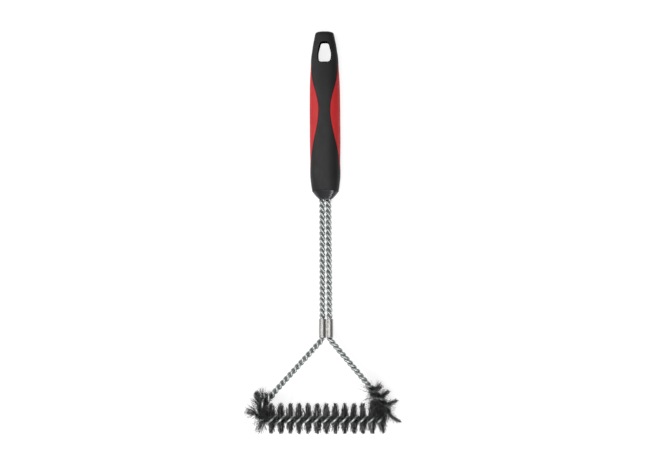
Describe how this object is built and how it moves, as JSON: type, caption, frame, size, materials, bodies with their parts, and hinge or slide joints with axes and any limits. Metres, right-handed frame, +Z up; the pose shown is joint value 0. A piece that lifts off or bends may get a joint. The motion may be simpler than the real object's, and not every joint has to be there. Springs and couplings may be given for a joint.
{
  "type": "grill cleaning brush",
  "caption": "Triangular twisted-wire grill brush: wire bristles pinched in a steel wire stem, crimped sleeve, black plastic handle with red side inlays and a hang hole",
  "frame": {"origin": "under the middle of the whole brush, on the surface that it lies on", "axes": "+X to the right and +Y from the brush bar to the hanging end of the handle, as the brush lies on its back; +Z up, away from the surface"},
  "size_m": [0.166, 0.4298, 0.0333],
  "materials": {
    "core_plastic": "plain moulded, hidden inside the grip",
    "soft_black": "soft-touch, satin",
    "soft_red": "soft-touch, satin",
    "nose_plastic": "gloss",
    "stem_steel": "galvanised wire, satin",
    "sleeve_steel": "bright sheet, satin",
    "bristle_steel": "fine dark wire"
  },
  "bodies": {
    "root": {"handle_core": "core_plastic", "soft_grip": "soft_black", "grip_inlay_left": "soft_red", "grip_inlay_right": "soft_red", "nose_cap": "nose_plastic", "stem_wire_a": "stem_steel", "stem_wire_b": "stem_steel", "crimp_sleeve": "sleeve_steel", "bristle_bundle_01": "bristle_steel", "bristle_bundle_02": "bristle_steel", "bristle_bundle_03": "bristle_steel", "bristle_bundle_04": "bristle_steel", "bristle_bundle_05": "bristle_steel", "bristle_bundle_06": "bristle_steel", "bristle_bundle_07": "bristle_steel", "bristle_bundle_08": "bristle_steel", "bristle_bundle_09": "bristle_steel", "bristle_bundle_10": "bristle_steel", "bristle_bundle_11": "bristle_steel", "bristle_bundle_12": "bristle_steel", "bristle_bundle_13": "bristle_steel", "bristle_bundle_14": "bristle_steel", "bristle_bundle_15": "bristle_steel", "bristle_bundle_16": "bristle_steel", "bristle_bundle_17": "bristle_steel", "bristle_bundle_18": "bristle_steel", "bristle_bundle_19": "bristle_steel", "bristle_bundle_20": "bristle_steel", "bristle_bundle_21": "bristle_steel"}
  },
  "joints": []
}
